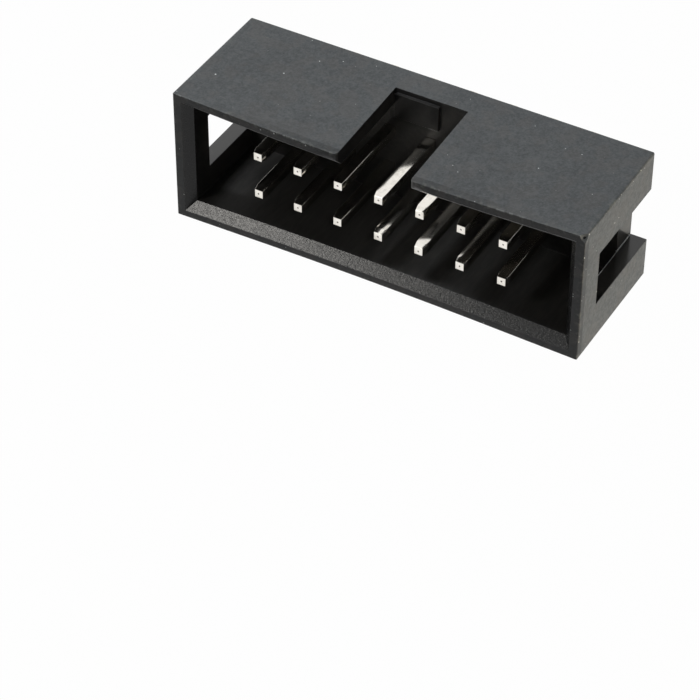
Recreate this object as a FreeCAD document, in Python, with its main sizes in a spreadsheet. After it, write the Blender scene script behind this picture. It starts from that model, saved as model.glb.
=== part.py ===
import FreeCAD, Part
import math
import os
import Sketcher

# Keyed two-row box header with straight solder tails, in millimetres.
# +X runs along the rows, the polarising keyway faces -Y and the mouth faces +Z.
# The board's surface is at z = 0, under the standoffs, and the origin is midway between the rows.

Vector = FreeCAD.Vector

SIZES = (
    ("ways", 7, "contacts in each row"),
    ("rows", 2, "rows of contacts"),
    ("pitch", 2.54, "contact to contact along a row"),
    ("row_gap", 2.54, "row to row"),
    ("post_side", 0.64, "side of a square post"),
    ("tip_setback", 0.65, "rim down to the tip of a post"),
    ("tail_reach", 3.0, "board surface down to the end of a tail"),
    ("coin_width", 0.07, "taper of a post's end, on each side"),
    ("coin_length", 0.4, "taper of a post's end, along it"),
    ("end_margin", 5.03, "last contact out to the end face"),
    ("side_margin", 2.98, "row out to the long face"),
    ("shroud_height", 8.4, "underside of the base up to the rim"),
    ("floor_height", 1.8, "underside of the base up to the cavity's floor"),
    ("long_wall", 1.0, "thickness of a long wall"),
    ("end_wall", 1.0, "thickness of an end wall"),
    ("lead_in", 0.55, "chamfer inside the mouth"),
    ("corner_radius", 0.12, "upright outer edges"),
    ("edge_radius", 0.06, "outer edges of the rim and the base"),
    ("key_width", 4.5, "polarising keyway"),
    ("key_radius", 0.25, "flare of the keyway at the rim"),
    ("slot_width", 3.5, "slot in an end wall"),
    ("slot_to_rim", 2.0, "end of that slot to the rim"),
    ("recess_side", 1.4, "square recess round a tail"),
    ("recess_depth", 0.5, "depth of that recess"),
    ("supports", 3, "standoffs along each long edge, and ribs"),
    ("support_inset", 1.95, "end face to the outer standoffs and ribs"),
    ("standoff_inset", 1.25, "long face to a standoff"),
    ("standoff_radius", 0.5, "standoff at the underside"),
    ("standoff_height", 0.35, "standoff below the underside"),
    ("rib_radius", 0.45, "rounding of a rib"),
    ("rib_proud", 0.3, "rib beyond the rear face"),
    ("rib_to_rim", 0.65, "end of a rib to the rim"),
    ("panel_length", 5.75, "bare recessed panel on the rear face"),
    ("panel_height", 2.8, "height of that panel"),
    ("panel_rise", 4.1, "underside to the panel's middle"),
    ("panel_depth", 0.1, "depth of that panel"),
    ("pad_width", 2.8, "low pad on the floor at the keyway"),
    ("pad_depth", 1.6, "the same, from front to back"),
    ("pad_inset", 0.3, "front face to that pad"),
    ("pad_height", 0.2, "height of that pad"),
    ("mark_radius", 0.5, "round mark on the right end face"),
    ("mark_rise", 2.55, "underside to that mark"),
    ("mark_inset", 1.2, "long face to that mark"),
    ("mark_depth", 0.05, "depth of that mark"),
)

LENGTH = "((sizes.ways - 1) * sizes.pitch + 2 * sizes.end_margin)"
WIDTH = "((sizes.rows - 1) * sizes.row_gap + 2 * sizes.side_margin)"
INNER_LENGTH = f"({LENGTH} - 2 * sizes.end_wall)"
INNER_WIDTH = f"({WIDTH} - 2 * sizes.long_wall)"
UNDERSIDE = "sizes.standoff_height"
RIM = f"({UNDERSIDE} + sizes.shroud_height)"
FLOOR = f"({UNDERSIDE} + sizes.floor_height)"
CAVITY_DEPTH = "(sizes.shroud_height - sizes.floor_height)"
WAY_SPAN = "((sizes.ways - 1) * sizes.pitch)"
ROW_SPAN = "((sizes.rows - 1) * sizes.row_gap)"
SUPPORT_SPAN = f"({LENGTH} - 2 * sizes.support_inset)"
STANDOFF_SPAN = f"({WIDTH} - 2 * sizes.standoff_inset)"

TOUCH = 1e-4
START, END, CENTRE = range(1, 4)
H_AXIS, V_AXIS = range(-1, -3, -1)
ORIGIN = (H_AXIS, START)


def make_sheet(doc):
    """The driving sizes, one alias to a row."""
    sheet = doc.addObject("Spreadsheet::Sheet", "sizes")
    for row, (alias, value, meaning) in enumerate(SIZES, start=1):
        sheet.set(f"A{row}", alias)
        sheet.set(f"B{row}", str(value))
        sheet.setAlias(f"B{row}", alias)
        sheet.set(f"C{row}", meaning)
    doc.recompute()
    return sheet


def make_body(doc, label):
    body = doc.addObject("PartDesign::Body", label)
    body.Label = label
    return body


def origin_part(body, role):
    """The body's own plane or axis with that role."""
    return next(item for item in body.Origin.OriginFeatures if item.Role == role)


def make_sketch(body, name, role="XY_Plane", offset=(None, None, None)):
    """A sketch on one of the body's own planes, moved by expressions along the plane's own axes."""
    sketch = body.newObject("Sketcher::SketchObject", name)
    sketch.AttachmentSupport = [(origin_part(body, role), "")]
    sketch.MapMode = "FlatFace"
    for axis, expression in zip("xyz", offset):
        if expression:
            sketch.setExpression(f"AttachmentOffset.Base.{axis}", expression)
    return sketch


def constrain(sketch, *constraints):
    for constraint in constraints:
        sketch.addConstraint(Sketcher.Constraint(*constraint))


def drive(sketch, expression, kind, *points):
    """A dimension that starts as drawn and then follows an expression."""
    if kind == "Radius":
        drawn = sketch.Geometry[points[0]].Radius
    else:
        gap = sketch.getPoint(*points[2:]) - sketch.getPoint(*points[:2])
        drawn = gap.x if kind == "DistanceX" else gap.y
    index = sketch.addConstraint(Sketcher.Constraint(kind, *points, drawn))
    sketch.renameConstraint(index, f"driven_{index}")
    sketch.setExpression(f"Constraints.driven_{index}", expression)


def drive_from_origin(sketch, kind, point, side, expression):
    """A point's distance from the sketch's origin, on the side given as 1 or -1."""
    ends = (ORIGIN, point) if side > 0 else (point, ORIGIN)
    drive(sketch, expression, kind, *ends[0], *ends[1])


def add_outline(sketch, points):
    """A closed outline of straight lines through rough points, joined end to start."""
    first = sketch.GeometryCount
    count = len(points)
    for index in range(count):
        start, end = Vector(*points[index], 0), Vector(*points[(index + 1) % count], 0)
        sketch.addGeometry(Part.LineSegment(start, end), False)
    for index in range(count):
        following = first + (index + 1) % count
        constrain(sketch, ("Coincident", first + index, END, following, START))
    return first


def add_rectangle(sketch, left, right, bottom, top):
    """A rectangle whose edges are each (side, expression) from the sketch's origin."""
    rough = {(-1, 1): (-1, 1), (1, 1): (1, 2), (-1, -1): (-2, -1)}
    x_low, x_high = rough[left[0], right[0]]
    y_low, y_high = rough[bottom[0], top[0]]
    first = add_outline(sketch, [(x_low, y_low), (x_high, y_low), (x_high, y_high), (x_low, y_high)])
    constrain(sketch, ("Horizontal", first), ("Horizontal", first + 2))
    constrain(sketch, ("Vertical", first + 1), ("Vertical", first + 3))
    drive_from_origin(sketch, "DistanceX", (first, START), *left)
    drive_from_origin(sketch, "DistanceY", (first, START), *bottom)
    drive_from_origin(sketch, "DistanceX", (first + 1, END), *right)
    drive_from_origin(sketch, "DistanceY", (first + 1, END), *top)


def add_centred_rectangle(sketch, width, height):
    half_width, half_height = f"{width} / 2", f"{height} / 2"
    add_rectangle(sketch, (-1, half_width), (1, half_width), (-1, half_height), (1, half_height))


def add_arc(sketch, centre, first_angle, last_angle):
    """A rough arc of unit radius between two angles in degrees."""
    circle = Part.Circle(Vector(*centre, 0), Vector(0, 0, 1), 1)
    arc = Part.ArcOfCircle(circle, math.radians(first_angle), math.radians(last_angle))
    return sketch.addGeometry(arc, False)


def add_line(sketch, start, end):
    return sketch.addGeometry(Part.LineSegment(Vector(*start, 0), Vector(*end, 0)), False)


def extrude(body, kind, name, sketch, length, reverse=False):
    """A Pad along the sketch's normal or a Pocket against it, the other way if reversed."""
    feature = body.newObject(f"PartDesign::{kind}", name)
    feature.Profile = sketch
    feature.Reversed = reverse
    feature.setExpression("Length", length)
    return feature


def revolve(body, name, sketch):
    """A full turn about the sketch's upright axis."""
    feature = body.newObject("PartDesign::Revolution", name)
    feature.Profile = sketch
    feature.ReferenceAxis = (sketch, ["V_Axis"])
    feature.Angle = 360
    return feature


def dress_edges(body, kind, name, base, size, choose):
    """A Fillet of a radius, or a Chamfer of a width, on the edges chosen from the base's shape."""
    body.Document.recompute()
    chosen = choose(base.Shape)
    numbered = enumerate(base.Shape.Edges, start=1)
    names = [f"Edge{index}" for index, edge in numbered if any(edge.isSame(one) for one in chosen)]
    feature = body.newObject(f"PartDesign::{kind}", name)
    feature.Base = (base, names)
    feature.setExpression("Radius" if kind == "Fillet" else "Size", size)
    return feature


def upright_edges(shape):
    return [edge for edge in shape.Edges if edge.BoundBox.ZLength > TOUCH]


def level_edges(shape):
    return [edge for edge in shape.Edges if edge.BoundBox.ZLength < TOUCH]


def mouth_edges(shape):
    """The edges of the opening in the highest level face."""
    level_faces = [face for face in shape.Faces if face.BoundBox.ZLength < TOUCH]
    rim = max(level_faces, key=lambda face: face.BoundBox.ZMax)
    outer = rim.OuterWire.Edges
    return [edge for edge in rim.Edges if not any(edge.isSame(other) for other in outer)]


def repeat(body, name, originals, *runs):
    """Features repeated along the body's axes, each run given as (axis, length, count)."""
    grid = body.newObject("PartDesign::MultiTransform", name)
    grid.Originals = originals
    steps = []
    for index, (role, length, count) in enumerate(runs, start=1):
        step = body.newObject("PartDesign::LinearPattern", f"{name}_run_{index}")
        step.Direction = (origin_part(body, role), [""])
        step.setExpression("Length", length)
        step.setExpression("Occurrences", count)
        steps.append(step)
    grid.Transformations = steps
    body.Tip = grid


def add_block(body):
    """The outside of the moulding, from the underside to the rim, with its edges rounded."""
    outline = make_sketch(body, "block_outline", offset=(None, None, UNDERSIDE))
    add_centred_rectangle(outline, LENGTH, WIDTH)
    block = extrude(body, "Pad", "block", outline, "sizes.shroud_height")
    corners = dress_edges(body, "Fillet", "corners", block, "sizes.corner_radius", upright_edges)
    dress_edges(body, "Fillet", "edges", corners, "sizes.edge_radius", level_edges)


def add_cavity(body):
    """The plug's cavity, with a lead-in chamfer all round its mouth."""
    outline = make_sketch(body, "cavity_outline", offset=(None, None, RIM))
    add_centred_rectangle(outline, INNER_LENGTH, INNER_WIDTH)
    cavity = extrude(body, "Pocket", "cavity", outline, CAVITY_DEPTH)
    dress_edges(body, "Chamfer", "lead_in", cavity, "sizes.lead_in", mouth_edges)


def add_keyway(body):
    """The keyway through the front wall, down to the cavity's floor and flared at the rim."""
    sketch = make_sketch(body, "keyway_profile", "XZ_Plane", (None, FLOOR, f"{WIDTH} / 2"))
    foot = add_line(sketch, (-2, 0), (2, 0))
    right = add_line(sketch, (2, 0), (2, 4))
    right_flare = add_arc(sketch, (3, 4), 90, 180)
    mouth = add_line(sketch, (3, 5), (-3, 5))
    left_flare = add_arc(sketch, (-3, 4), 0, 90)
    left = add_line(sketch, (-2, 4), (-2, 0))
    constrain(
        sketch,
        ("Coincident", foot, END, right, START),
        ("Tangent", right, END, right_flare, END),
        ("Coincident", right_flare, START, mouth, START),
        ("Coincident", mouth, END, left_flare, END),
        ("Tangent", left_flare, START, left, START),
        ("Coincident", left, END, foot, START),
        ("Horizontal", foot),
        ("Vertical", right),
        ("Vertical", left),
        ("Vertical", right_flare, START, right_flare, CENTRE),
        ("Vertical", left_flare, END, left_flare, CENTRE),
        ("Symmetric", foot, START, foot, END, *ORIGIN),
        ("Horizontal", mouth),
        ("Equal", right_flare, left_flare),
    )
    drive(sketch, "sizes.key_width", "DistanceX", foot, START, foot, END)
    drive(sketch, "sizes.key_radius", "Radius", right_flare)
    drive(sketch, CAVITY_DEPTH, "DistanceY", *ORIGIN, mouth, START)
    into_cavity = f"(sizes.long_wall + ({INNER_WIDTH} - {ROW_SPAN}) / 4)"
    extrude(body, "Pocket", "keyway", sketch, into_cavity)


def add_end_slots(body):
    """A slot up each end wall and the end of the base, which stops short of the rim."""
    sketch = make_sketch(body, "end_slot_outlines", offset=(None, None, UNDERSIDE))
    outer, inner = f"{LENGTH} / 2", f"{INNER_LENGTH} / 2"
    half = "sizes.slot_width / 2"
    add_rectangle(sketch, (-1, outer), (-1, inner), (-1, half), (1, half))
    add_rectangle(sketch, (1, inner), (1, outer), (-1, half), (1, half))
    extrude(body, "Pocket", "end_slots", sketch, "sizes.shroud_height - sizes.slot_to_rim", reverse=True)


def add_floor_pad(body):
    """The low pad on the cavity's floor behind the keyway, flush with its right side."""
    sketch = make_sketch(body, "floor_pad_outline", offset=(None, None, FLOOR))
    right = "sizes.key_width / 2"
    front = f"({WIDTH} / 2 - sizes.pad_inset)"
    left = f"sizes.pad_width - {right}"
    add_rectangle(sketch, (-1, left), (1, right), (-1, front), (-1, f"({front} - sizes.pad_depth)"))
    extrude(body, "Pad", "floor_pad", sketch, "sizes.pad_height")


def add_standoffs(body):
    """Domed standoffs under the base, in a row along each long edge."""
    place = (f"-{SUPPORT_SPAN} / 2", UNDERSIDE, f"{STANDOFF_SPAN} / 2")
    sketch = make_sketch(body, "standoff_profile", "XZ_Plane", place)
    base = add_line(sketch, (0, 0), (1, 0))
    dome = add_arc(sketch, (0, 0), 270, 360)
    axis = add_line(sketch, (0, -1), (0, 0))
    constrain(
        sketch,
        ("Coincident", base, START, *ORIGIN),
        ("Horizontal", base),
        ("Coincident", base, END, dome, END),
        ("Coincident", dome, START, axis, START),
        ("Coincident", axis, END, *ORIGIN),
        ("PointOnObject", dome, START, V_AXIS),
        ("PointOnObject", dome, CENTRE, V_AXIS),
    )
    drive(sketch, "sizes.standoff_radius", "DistanceX", base, START, base, END)
    drive(sketch, "sizes.standoff_height", "DistanceY", dome, START, *ORIGIN)
    standoff = revolve(body, "standoff", sketch)
    along = ("X_Axis", SUPPORT_SPAN, "sizes.supports")
    repeat(body, "standoffs", [standoff], along, ("Y_Axis", STANDOFF_SPAN, "2"))


def add_ribs(body):
    """Half-round ribs up the rear face from the underside, each with a rounded upper end."""
    axis_depth = f"-({WIDTH} / 2 - sizes.rib_radius + sizes.rib_proud)"
    place = (f"-{SUPPORT_SPAN} / 2", UNDERSIDE, axis_depth)
    sketch = make_sketch(body, "rib_profile", "XZ_Plane", place)
    foot = add_line(sketch, (0, 0), (1, 0))
    side = add_line(sketch, (1, 0), (1, 2))
    end = add_arc(sketch, (0, 2), 0, 90)
    axis = add_line(sketch, (0, 3), (0, 0))
    constrain(
        sketch,
        ("Coincident", foot, START, *ORIGIN),
        ("Horizontal", foot),
        ("Coincident", foot, END, side, START),
        ("Vertical", side),
        ("Tangent", side, END, end, START),
        ("Coincident", end, END, axis, START),
        ("Coincident", axis, END, *ORIGIN),
        ("PointOnObject", end, END, V_AXIS),
        ("PointOnObject", end, CENTRE, V_AXIS),
    )
    drive(sketch, "sizes.rib_radius", "Radius", end)
    drive(sketch, "sizes.shroud_height - sizes.rib_to_rim", "DistanceY", *ORIGIN, end, END)
    rib = revolve(body, "rib", sketch)
    repeat(body, "ribs", [rib], ("X_Axis", SUPPORT_SPAN, "sizes.supports"))


def add_panel(body):
    """The shallow bare panel on the rear face, between the left rib and the middle one."""
    place = (f"-{SUPPORT_SPAN} / 4", f"({UNDERSIDE} + sizes.panel_rise)", f"-{WIDTH} / 2")
    sketch = make_sketch(body, "panel_outline", "XZ_Plane", place)
    add_centred_rectangle(sketch, "sizes.panel_length", "sizes.panel_height")
    extrude(body, "Pocket", "panel", sketch, "sizes.panel_depth", reverse=True)


def add_post_holes(body):
    """A square recess and a square hole for each post, from the underside to the floor."""
    first_column = f"-{WAY_SPAN} / 2"
    first_row = f"-{ROW_SPAN} / 2"
    recess_outline = make_sketch(body, "recess_outline", offset=(first_column, first_row, UNDERSIDE))
    add_centred_rectangle(recess_outline, "sizes.recess_side", "sizes.recess_side")
    recess = extrude(body, "Pocket", "recess", recess_outline, "sizes.recess_depth", reverse=True)
    hole_outline = make_sketch(body, "hole_outline", offset=(first_column, first_row, FLOOR))
    add_centred_rectangle(hole_outline, "sizes.post_side", "sizes.post_side")
    hole = extrude(body, "Pocket", "hole", hole_outline, "sizes.floor_height")
    along = ("X_Axis", WAY_SPAN, "sizes.ways")
    repeat(body, "post_holes", [recess, hole], along, ("Y_Axis", ROW_SPAN, "sizes.rows"))


def add_end_marks(body):
    """The two plain round marks on the right end face, one each side of its slot."""
    place = (f"({WIDTH} / 2 - sizes.mark_inset)", f"({UNDERSIDE} + sizes.mark_rise)", f"{LENGTH} / 2")
    sketch = make_sketch(body, "mark_outline", "YZ_Plane", place)
    circle = sketch.addGeometry(Part.Circle(Vector(0, 0, 0), Vector(0, 0, 1), 1), False)
    constrain(sketch, ("Coincident", circle, CENTRE, *ORIGIN))
    drive(sketch, "sizes.mark_radius", "Radius", circle)
    mark = extrude(body, "Pocket", "mark", sketch, "sizes.mark_depth")
    mirrored = body.newObject("PartDesign::Mirrored", "marks")
    mirrored.Originals = [mark]
    mirrored.MirrorPlane = (origin_part(body, "XZ_Plane"), [""])
    body.Tip = mirrored


def make_housing(doc):
    """The one-piece moulded shroud."""
    body = make_body(doc, "housing")
    add_block(body)
    add_cavity(body)
    add_keyway(body)
    add_end_slots(body)
    add_floor_pad(body)
    add_standoffs(body)
    add_ribs(body)
    add_panel(body)
    add_post_holes(body)
    add_end_marks(body)
    return body


def add_tapered_end(body, name, height, turn):
    """A coined end: a square that narrows on all four sides, rising from the height or hanging."""
    wedge = body.newObject("PartDesign::AdditiveWedge", name)
    half = "sizes.post_side / 2"
    for side in "XZ":
        wedge.setExpression(f"{side}min", f"-{half}")
        wedge.setExpression(f"{side}max", half)
        wedge.setExpression(f"{side}2min", f"sizes.coin_width - {half}")
        wedge.setExpression(f"{side}2max", f"{half} - sizes.coin_width")
    wedge.setExpression("Ymin", "0")
    wedge.setExpression("Ymax", "sizes.coin_length")
    wedge.AttachmentSupport = [(origin_part(body, "XY_Plane"), "")]
    wedge.MapMode = "FlatFace"
    wedge.AttachmentOffset = FreeCAD.Placement(Vector(0, 0, 0), FreeCAD.Rotation(Vector(1, 0, 0), turn))
    wedge.setExpression("AttachmentOffset.Base.z", height)


def make_post(doc, label, way, row):
    """A square post with a coined taper at each end, in its place in the grid."""
    body = make_body(doc, label)
    body.setExpression("Placement.Base.x", f"{way} * sizes.pitch - {WAY_SPAN} / 2")
    body.setExpression("Placement.Base.y", f"{row} * sizes.row_gap - {ROW_SPAN} / 2")
    low = "(sizes.coin_length - sizes.tail_reach)"
    high = f"({RIM} - sizes.tip_setback - sizes.coin_length)"
    section = make_sketch(body, "section", offset=(None, None, low))
    add_centred_rectangle(section, "sizes.post_side", "sizes.post_side")
    extrude(body, "Pad", "shaft", section, f"{high} - {low}")
    add_tapered_end(body, "tip", high, 90)
    add_tapered_end(body, "tail_end", low, -90)
    return body


def make_posts(doc, sheet):
    """Every contact, numbered across the rows from the end at -X."""
    rows = int(sheet.rows)
    posts = []
    for way in range(int(sheet.ways)):
        for row in range(rows):
            number = way * rows + row + 1
            posts.append(make_post(doc, f"contact_pin_{number:02d}", way, row))
    return posts


def check(doc, bodies):
    """Stops if an object has failed or a body is not one valid solid."""
    for item in doc.Objects:
        if {"Invalid", "Error"} & set(item.State):
            raise RuntimeError(f"{item.Name} failed: {item.State}")
    for body in bodies:
        shape = body.Shape
        if shape.isNull() or not shape.isValid() or len(shape.Solids) != 1:
            raise RuntimeError(f"{body.Label} is not one valid solid")


def main():
    doc = FreeCAD.newDocument("box_header")
    sheet = make_sheet(doc)
    bodies = [make_housing(doc)] + make_posts(doc, sheet)
    doc.recompute()
    check(doc, bodies)
    os.makedirs("parts", exist_ok=True)
    for body in bodies:
        body.Shape.exportStep(os.path.join("parts", f"{body.Label}.step"))
        print(body.Label, f"{body.Shape.Volume:.3f} mm3", body.Shape.BoundBox)


main()
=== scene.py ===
"""Keyed two-row box header: a charcoal shroud and fourteen tin plated posts, in studio light."""

import logging
from collections.abc import Callable, Iterable, Iterator, Mapping, Sequence
from contextlib import contextmanager
from dataclasses import dataclass
from enum import Enum
from math import pi, radians, sqrt

import bmesh
import bpy
import numpy as np
from mathutils import Matrix, Vector

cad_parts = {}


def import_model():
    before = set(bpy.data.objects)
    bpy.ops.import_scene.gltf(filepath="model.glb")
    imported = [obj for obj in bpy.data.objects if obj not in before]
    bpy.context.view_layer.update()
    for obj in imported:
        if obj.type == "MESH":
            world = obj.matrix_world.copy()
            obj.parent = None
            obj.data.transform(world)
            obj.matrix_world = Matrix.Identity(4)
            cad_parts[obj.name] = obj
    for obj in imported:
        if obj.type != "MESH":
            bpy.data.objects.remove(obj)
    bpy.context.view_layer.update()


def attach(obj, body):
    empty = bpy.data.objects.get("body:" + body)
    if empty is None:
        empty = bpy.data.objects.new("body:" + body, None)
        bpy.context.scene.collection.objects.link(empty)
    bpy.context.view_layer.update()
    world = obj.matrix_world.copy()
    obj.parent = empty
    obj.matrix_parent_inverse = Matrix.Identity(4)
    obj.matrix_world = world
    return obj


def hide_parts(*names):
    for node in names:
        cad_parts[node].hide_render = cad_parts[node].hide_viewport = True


LOG = logging.getLogger("box_header")
MM = 0.001
BODY = "root"
PHOTO_SIDE = 700

Point = tuple[float, float, float]
Colour = tuple[float, float, float, float]
Surface = tuple[np.ndarray, list[Sequence[int]]]


# Shader graphs


class Signal:
    """An output socket of a shader graph, on which arithmetic adds Math nodes."""

    def __init__(self, graph: "Graph", socket: bpy.types.NodeSocket) -> None:
        """Wraps a socket.

        Args:
            graph: The graph that the socket is in.
            socket: The output socket.
        """
        self.graph = graph
        self.socket = socket

    def _math(self, operation: str, *values: "Signal | float") -> "Signal":
        """One Math node with this operation on these values."""
        return self.graph.node("ShaderNodeMath", {"operation": operation}, dict(enumerate(values)))

    def __add__(self, other: "Signal | float") -> "Signal":
        """Sum."""
        return self._math("ADD", self, other)

    def __radd__(self, other: float) -> "Signal":
        """Sum with a number on the left."""
        return self._math("ADD", other, self)

    def __sub__(self, other: "Signal | float") -> "Signal":
        """Difference."""
        return self._math("SUBTRACT", self, other)

    def __rsub__(self, other: float) -> "Signal":
        """Difference from a number on the left."""
        return self._math("SUBTRACT", other, self)

    def __mul__(self, other: "Signal | float") -> "Signal":
        """Product."""
        return self._math("MULTIPLY", self, other)

    def __abs__(self) -> "Signal":
        """Absolute value."""
        return self._math("ABSOLUTE", self)

    def other(self, output: str) -> "Signal":
        """Another output of the same node."""
        return Signal(self.graph, self.socket.node.outputs[output])

    def root(self) -> "Signal":
        """Square root."""
        return self._math("SQRT", self)

    def wrap(self, low: float, high: float) -> "Signal":
        """The value carried round into the range from low to high."""
        return self._math("WRAP", self, high, low)

    def at_most(self, other: "Signal | float") -> "Signal":
        """The smaller of the two."""
        return self._math("MINIMUM", self, other)

    def at_least(self, other: "Signal | float") -> "Signal":
        """The larger of the two."""
        return self._math("MAXIMUM", self, other)

    def ramp(self, low: float, high: float) -> "Signal":
        """A smooth step from 0 at low to 1 at high, or from 1 to 0 where low is the larger.

        Args:
            low: The value at which the step is 0.
            high: The value at which it is 1.

        Returns:
            The step.
        """
        start, end = (low, high) if low < high else (high, low)
        rising = self.graph.node(
            "ShaderNodeMapRange",
            {"interpolation_type": "SMOOTHSTEP"},
            {"Value": self, "From Min": start, "From Max": end},
        )
        return rising if low < high else 1 - rising


class Graph:
    """A node tree in the making."""

    def __init__(self, tree: bpy.types.NodeTree) -> None:
        """Clears the tree and keeps it."""
        tree.nodes.clear()
        self.tree = tree

    def node(
        self,
        kind: str,
        settings: Mapping[str, object] | None = None,
        inputs: Mapping[str | int, object] | None = None,
        output: str | int = 0,
    ) -> Signal:
        """Adds a node, sets what it is, then fills or links its inputs.

        Args:
            kind: The node's type.
            settings: Properties of the node, set before its sockets.
            inputs: A Signal or a plain value for each named or numbered input.
            output: The output that is returned.

        Returns:
            That output as a Signal.
        """
        made = self.tree.nodes.new(kind)
        for name, value in (settings or {}).items():
            setattr(made, name, value)
        for name, value in (inputs or {}).items():
            if isinstance(value, Signal):
                self.tree.links.new(value.socket, made.inputs[name])
            else:
                made.inputs[name].default_value = value
        return Signal(self, made.outputs[output])

    def close(self, kind: str, surface: Signal) -> None:
        """Adds the output node of this type and links its surface."""
        made = self.tree.nodes.new(kind)
        self.tree.links.new(surface.socket, made.inputs["Surface"])

    def place(self, scale: Point = (1.0, 1.0, 1.0)) -> Signal:
        """The point on the object in millimetres, stretched by a scale along each axis.

        Args:
            scale: Times how much closer a pattern stands along each axis.

        Returns:
            The point.
        """
        point = self.node("ShaderNodeTexCoord", output="Object")
        stretch = tuple(axis / MM for axis in scale)
        return self.node("ShaderNodeMapping", None, {"Vector": point, "Scale": stretch})

    def axes(self) -> tuple[Signal, Signal, Signal]:
        """The point on the object in millimetres, axis by axis."""
        split = self.node("ShaderNodeSeparateXYZ", None, {"Vector": self.place()})
        return split, split.other("Y"), split.other("Z")

    def noise(
        self, scale: float, detail: float = 2.0, roughness: float = 0.5, along: Point = (1, 1, 1)
    ) -> Signal:
        """Noise from 0 to 1.

        Args:
            scale: Lumps to a millimetre, about.
            detail: Octaves.
            roughness: How strong the finer octaves are.
            along: Times how many more lumps there are along each axis.

        Returns:
            The noise.
        """
        where = self.place(along)
        values = {"Vector": where, "Scale": scale, "Detail": detail, "Roughness": roughness}
        return self.node("ShaderNodeTexNoise", None, values)

    def flecks(self, scale: float, radius: float, share: Signal) -> Signal:
        """Round flecks, one in some of the cells of a Voronoi pattern.

        Args:
            scale: Cells to a millimetre.
            radius: Radius of a fleck, in cells.
            share: The share of the cells that has one.

        Returns:
            1 in a fleck and 0 outside.
        """
        cells = self.node("ShaderNodeTexVoronoi", None, {"Vector": self.place(), "Scale": scale})
        pick = self.node("ShaderNodeSeparateColor", None, {"Color": cells.other("Color")})
        size = pick.other("Green") * radius
        inside = (cells - size).ramp(0.25 * radius, -0.25 * radius)
        return inside * (pick - share).ramp(0.01, -0.01)

    def blend(self, share: "Signal | float", first: object, second: object) -> Signal:
        """A colour between two, by a share from 0 to 1."""
        settings = {"data_type": "RGBA"}
        return self.node("ShaderNodeMix", settings, {0: share, 6: first, 7: second}, output=2)

    def bump(self, height: Signal, depth: float) -> Signal:
        """A normal pushed by a height from 0 to 1, that deep in millimetres."""
        values = {"Height": height, "Distance": depth * MM, "Strength": 1.0}
        return self.node("ShaderNodeBump", None, values)

    def principled(
        self,
        colour: object,
        roughness: Signal,
        specular: float = 0.5,
        normal: Signal | None = None,
        metallic: float = 0.0,
    ) -> Signal:
        """Adds the usual surface shader.

        Args:
            colour: The base colour, as a Signal or plain.
            roughness: From 0, mirror smooth, to 1.
            specular: Level of the plain reflection.
            normal: The bumped normal, where there is one.
            metallic: 1 for metal.

        Returns:
            The shader.
        """
        values: dict[str | int, object] = {
            "Base Color": colour,
            "Roughness": roughness,
            "Specular IOR Level": specular,
            "Metallic": metallic,
        }
        if normal is not None:
            values["Normal"] = normal
        return self.node("ShaderNodeBsdfPrincipled", None, values)

    def mix(self, share: Signal, first: Signal, second: Signal) -> Signal:
        """A shader between two, by a share from 0 to 1."""
        return self.node("ShaderNodeMixShader", None, {0: share, 1: first, 2: second})


class Slot(Enum):
    """The record's material slots."""

    MOULDING = "moulding"
    CONTACT = "contact"


def new_material(name: str, surface: Callable[[Graph], Signal]) -> bpy.types.Material:
    """Makes a material.

    Args:
        name: Its name.
        surface: Adds the nodes to a graph, and gives back their shader.

    Returns:
        The finished material.
    """
    material = bpy.data.materials.new(name)
    material.use_nodes = True
    graph = Graph(material.node_tree)
    graph.close("ShaderNodeOutputMaterial", surface(graph))
    return material


@dataclass(frozen=True, kw_only=True)
class Block:
    """The moulding's main sizes in millimetres, for its shape and where its finishes are."""

    length: float = 25.3
    width: float = 8.5
    rim: float = 8.75
    floor: float = 2.15
    wall: float = 1.0
    lead_in: float = 0.55
    key_width: float = 4.5
    slot_width: float = 3.5
    slot_top: float = 6.75
    bow_keyed: float = 0.32
    bow_plain: float = 0.2

    @property
    def half_length(self) -> float:
        """Half the block's length."""
        return self.length / 2

    @property
    def half_width(self) -> float:
        """Half the block's width."""
        return self.width / 2

    @property
    def half_key(self) -> float:
        """Half the keyway's width."""
        return self.key_width / 2

    @property
    def half_slot(self) -> float:
        """Half the width of the slots."""
        return self.slot_width / 2

    @property
    def rim_width(self) -> float:
        """Width of the rim between the outside and the chamfer."""
        return self.wall - self.lead_in


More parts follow.
